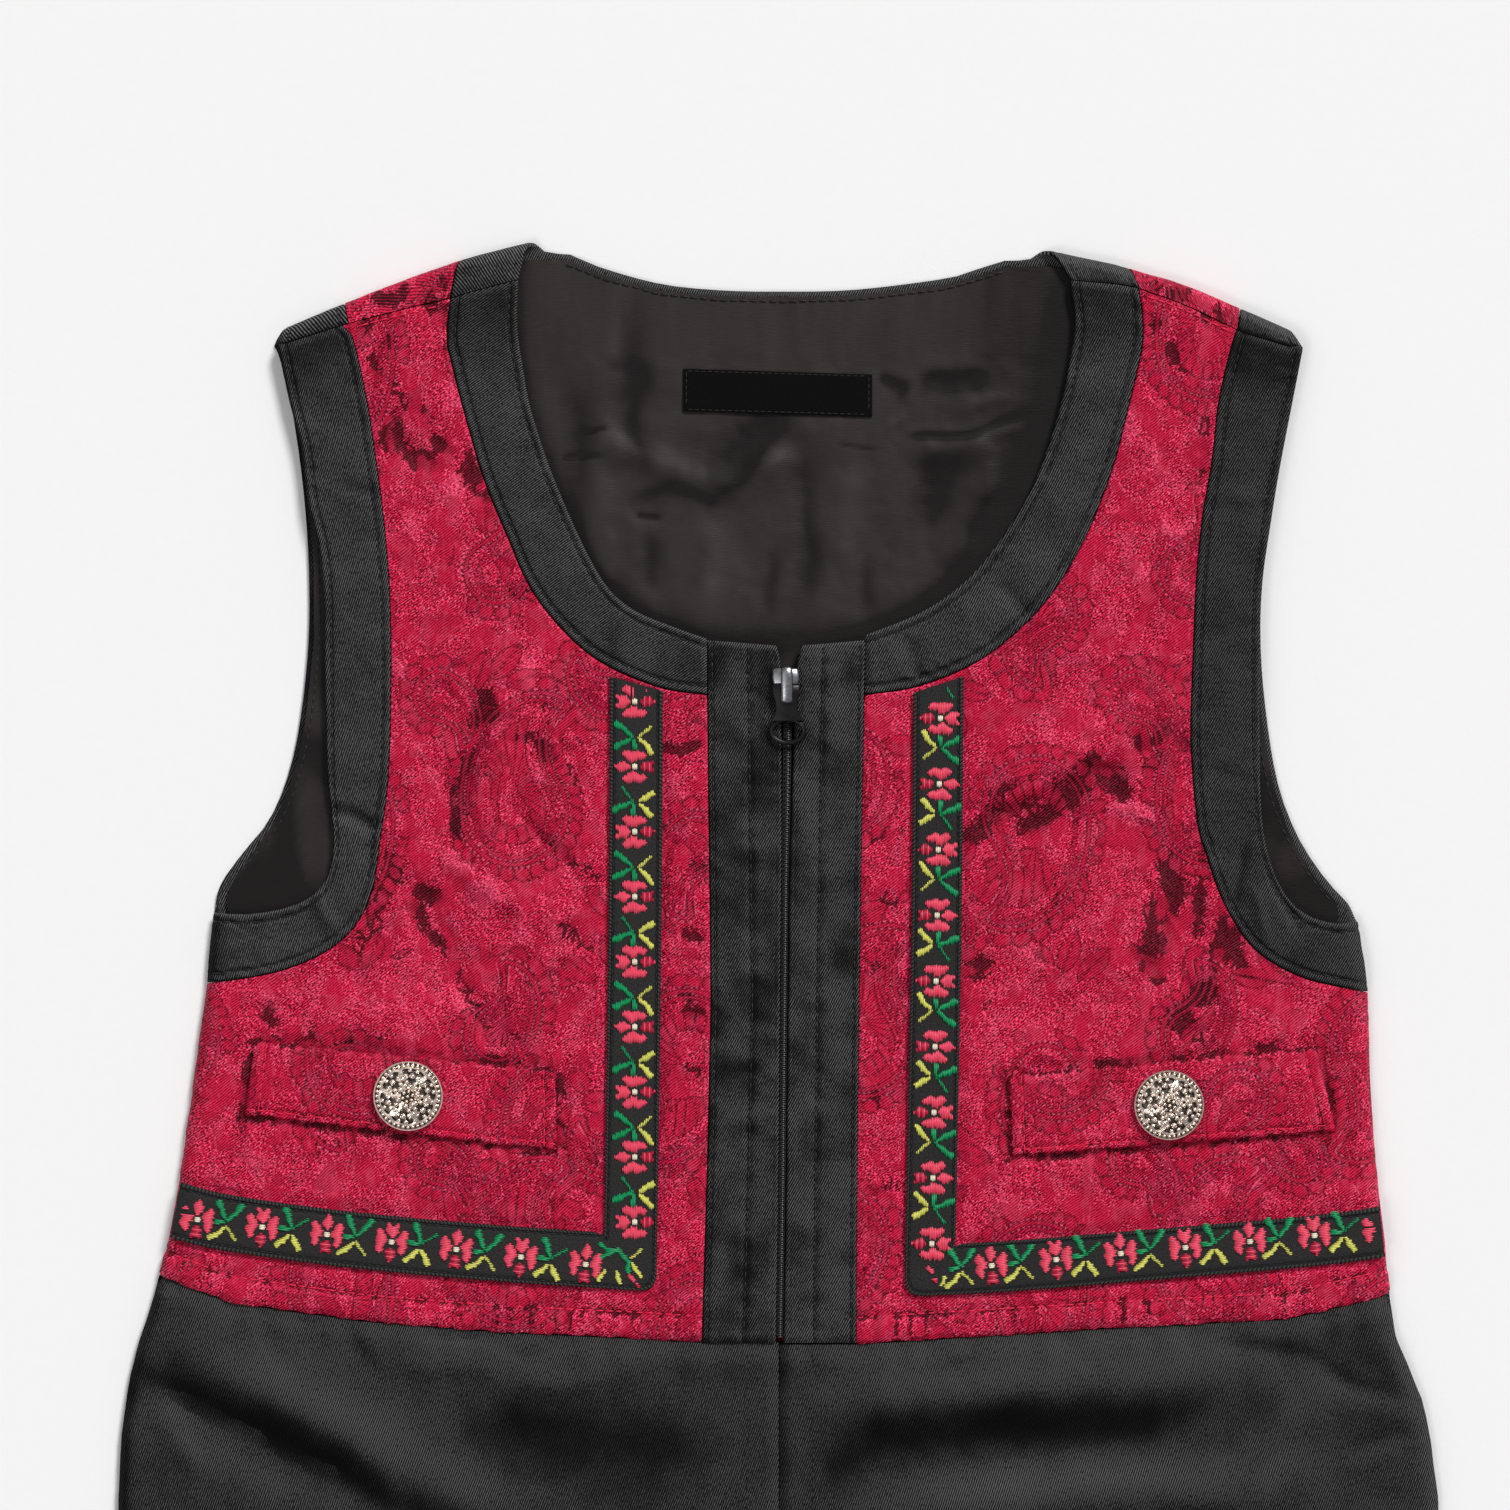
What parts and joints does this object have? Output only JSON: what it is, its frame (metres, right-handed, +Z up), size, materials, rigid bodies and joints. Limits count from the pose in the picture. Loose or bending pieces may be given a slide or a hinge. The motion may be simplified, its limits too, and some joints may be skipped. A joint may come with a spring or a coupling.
{
  "type": "bunad-style toddler romper",
  "caption": "Toddler's sleeveless bunad-style romper laid flat: crimson brocade vest with black bands, flower ribbons and a front zip, joined to black knee breeches.",
  "frame": {"origin": "middle of the laid-out garment's bounding box, on the surface it lies on", "axes": "+Y towards the neck, +X to the viewer's right when seen from above, +Z up out of the front"},
  "size_m": [0.3199, 0.5798, 0.0106],
  "materials": {
    "brocade": "crimson brocade with a woven paisley, slight satin sheen",
    "twill": "black cotton twill",
    "lining": "black satin lining",
    "ribbon": "black jacquard ribbon with pink flowers and green leaves",
    "label_tape": "black woven tape, blank",
    "zip_tape": "black woven zip tape",
    "zip_coil": "black nylon coil",
    "pewter": "antiqued pewter with cast filigree",
    "slider_metal": "grey nickel plate",
    "pull_metal": "black enamel"
  },
  "bodies": {
    "garment": {"back_bodice": "brocade", "back_neck_band": "twill", "back_armhole_band_left": "twill", "back_armhole_band_right": "twill", "back_lining": "lining", "label": "label_tape", "back_trouser_left": "twill", "back_trouser_right": "twill", "front_bodice_left": "brocade", "front_bodice_right": "brocade", "front_neck_band_left": "twill", "front_neck_band_right": "twill", "front_armhole_band_left": "twill", "front_armhole_band_right": "twill", "placket_left": "twill", "placket_right": "twill", "front_trouser_left": "twill", "front_trouser_right": "twill", "ribbon_left": "ribbon", "ribbon_right": "ribbon", "flap_left": "brocade", "flap_right": "brocade", "button_left": "pewter", "button_right": "pewter", "zip_tape_left": "zip_tape", "zip_tape_right": "zip_tape", "zip_coil": "zip_coil", "zip_slider": "slider_metal"},
    "pull": {"zip_pull": "pull_metal"}
  },
  "joints": [
    {"name": "pull_tab_hinge", "type": "hinge", "parent": "garment", "child": "pull", "pos_m": [0.0019, 0.1806, 0.0081], "axis": [-1, 0, 0], "range_deg": [0, 140]}
  ]
}
